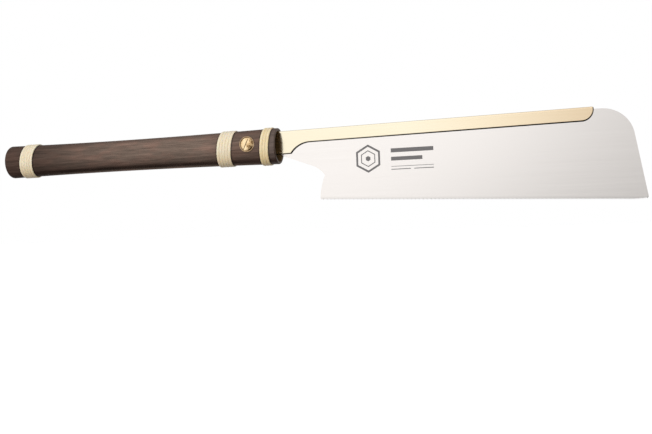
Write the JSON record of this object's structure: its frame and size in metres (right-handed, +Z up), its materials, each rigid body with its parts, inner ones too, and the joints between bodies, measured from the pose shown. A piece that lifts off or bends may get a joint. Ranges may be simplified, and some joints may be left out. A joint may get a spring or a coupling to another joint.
{
  "type": "japanese pull saw",
  "caption": "Back-stiffened pull saw: thin toothed steel blade in a folded brass spine, clamped by a slotted bolt in an oval wooden handle wrapped with rattan.",
  "frame": {"origin": "centre of the handle's mouth, on the handle's axis and in the blade's mid-plane", "axes": "+X along the handle's axis towards the blade's toe, +Z up towards the brass spine with the teeth pointing down, Y across the blade with the bolt's head on the -Y side"},
  "size_m": [0.5151, 0.0252, 0.068],
  "materials": {
    "stained_wood": "dark brown stain with a satin oil finish",
    "rattan": "split cane, glossy outer skin",
    "cheek_wood": "bare hardwood",
    "bolt_brass": "turned and polished",
    "cup_brass": "turned, dulled by handling",
    "spine_brass": "brushed lengthwise, then polished",
    "spring_steel": "plain hardened steel",
    "blade_steel": "finely ground lengthwise"
  },
  "bodies": {
    "handle": {"handle_near_half": "stained_wood", "handle_far_half": "stained_wood", "rattan_front": "rattan", "rattan_middle": "rattan", "rattan_butt": "rattan", "clamp_cheek_near": "cheek_wood", "clamp_cheek_far": "cheek_wood", "bolt_cup": "cup_brass", "nut_cup": "cup_brass", "sleeve_nut": "bolt_brass"},
    "blade_unit": {"spine": "spine_brass", "blade": "blade_steel"},
    "washer": {"spring_washer": "spring_steel"},
    "bolt": {"clamp_bolt": "bolt_brass"}
  },
  "joints": [
    {"name": "blade_slide", "type": "slide", "parent": "handle", "child": "blade_unit", "axis": [1, 0, 0], "range_m": [0, 0.038]},
    {"name": "bolt_lift", "type": "slide", "parent": "handle", "child": "washer", "axis": [0, -1, 0], "range_m": [0, 0.0056]},
    {"name": "bolt_turn", "type": "hinge", "parent": "washer", "child": "bolt", "pos_m": [-0.0228, 0, 0.0019], "axis": [0, -1, 0], "range_deg": [0, 2520]}
  ],
  "couplings": [
    {"joint": "bolt_turn", "follows": "bolt_lift", "rad_per_m": 7854}
  ]
}
